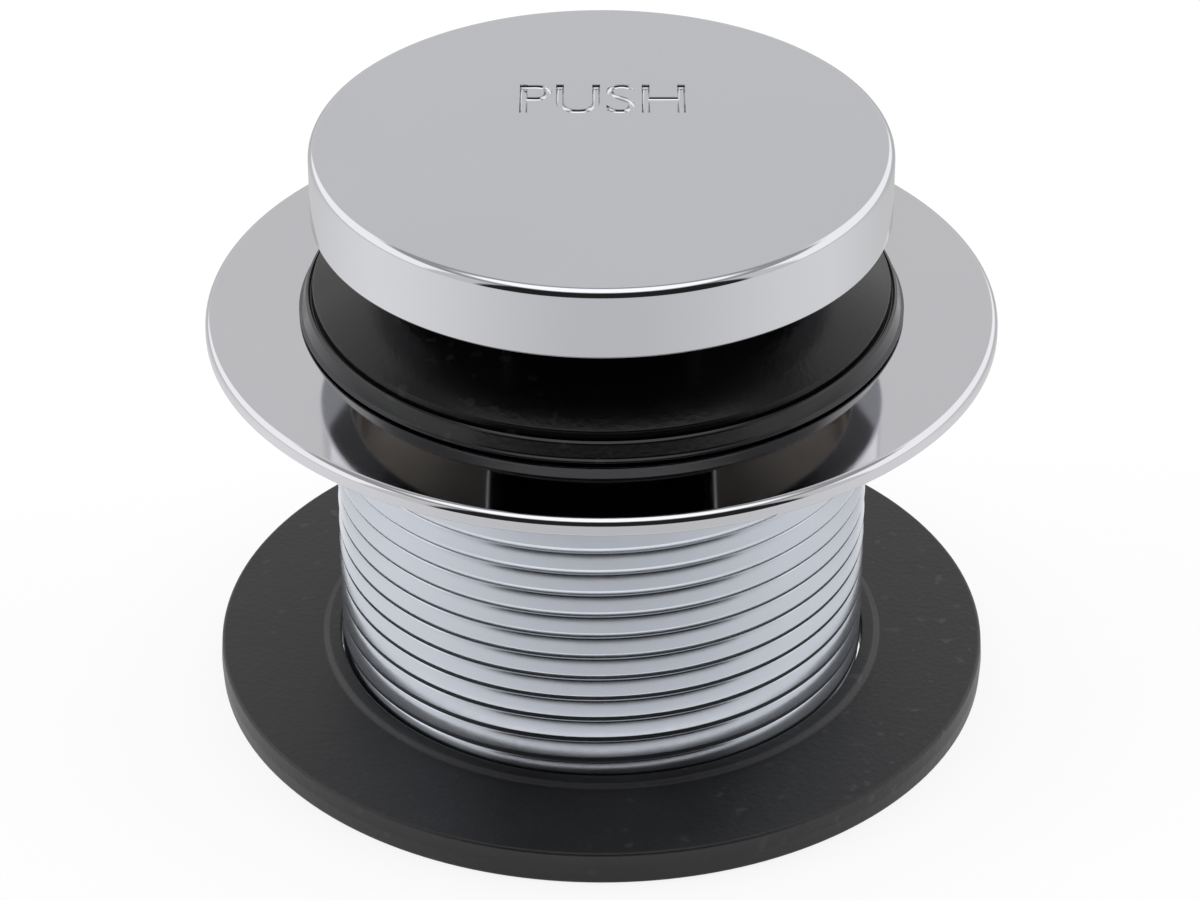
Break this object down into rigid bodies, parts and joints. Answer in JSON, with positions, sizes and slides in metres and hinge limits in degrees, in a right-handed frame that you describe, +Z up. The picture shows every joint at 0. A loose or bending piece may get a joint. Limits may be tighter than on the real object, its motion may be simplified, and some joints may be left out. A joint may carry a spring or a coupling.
{
  "type": "tip-toe bath drain",
  "caption": "Tip-toe bath drain shown closed: threaded barrel with crossed arms, flange, rubber under-tub gasket, and a chrome cap over a rubber lip seal on a push-latch cartridge.",
  "frame": {"origin": "centre of the bottom of the bounding box, on the drain's own axis, at the foot of the threaded barrel and the gasket's underside", "axes": "+Z up along the drain's axis, from the barrel's foot to the cap; +X passes midway between two of the four cross arms; the push lettering on the cap reads upright seen from -Y"},
  "size_m": [0.0698, 0.0698, 0.054],
  "materials": {
    "body_chrome": "polished chrome plate on brass",
    "cap_chrome": "polished chrome plate on brass",
    "gasket_rubber": "matt moulded rubber",
    "seal_rubber": "smooth moulded rubber",
    "housing_brass": "turned brass",
    "plunger_brass": "turned brass",
    "lock_brass": "milled brass",
    "clamp_brass": "milled brass",
    "washer_steel": "stamped stainless steel",
    "lock_steel": "stamped steel",
    "clip_steel": "dark spring steel",
    "spring_steel": "drawn stainless wire",
    "sleeve_acetal": "natural moulded acetal",
    "rotor_acetal": "moulded acetal",
    "bushing_acetal": "black moulded acetal",
    "thrust_nylon": "nylon washer",
    "ring_rubber": "moulded rubber",
    "wiper_rubber": "moulded rubber",
    "seat_steel": "stamped stainless steel",
    "bumper_rubber": "moulded rubber"
  },
  "bodies": {
    "drain": {"drain_body": "body_chrome", "tub_gasket": "gasket_rubber", "lock_washer": "lock_steel", "lock_nut": "lock_brass", "cartridge_housing": "housing_brass", "cam_sleeve": "sleeve_acetal", "guide_bushing": "bushing_acetal", "bushing_o_ring": "ring_rubber", "wiper_ring": "wiper_rubber", "return_spring": "spring_steel", "floor_bumper": "bumper_rubber"},
    "stopper": {"plunger": "plunger_brass", "thrust_washer": "thrust_nylon", "retaining_clip": "clip_steel", "clamp_nut": "clamp_brass", "seal_washer": "washer_steel", "stopper_seal": "seal_rubber", "stopper_cap": "cap_chrome", "spring_seat": "seat_steel"},
    "rotor": {"latch_rotor": "rotor_acetal"}
  },
  "joints": [
    {"name": "stopper_slide", "type": "slide", "parent": "drain", "child": "stopper", "axis": [0, 0, 1], "range_m": [0, 0.0095], "deforming": ["return_spring"]},
    {"name": "rotor_turn", "type": "hinge", "parent": "stopper", "child": "rotor", "pos_m": [0, 0, 0.0209], "axis": [0, 0, 1], "range_deg": [0, 45]}
  ],
  "couplings": [
    {"joint": "rotor_turn", "follows": "stopper_slide", "rad_per_m": 82.67}
  ]
}
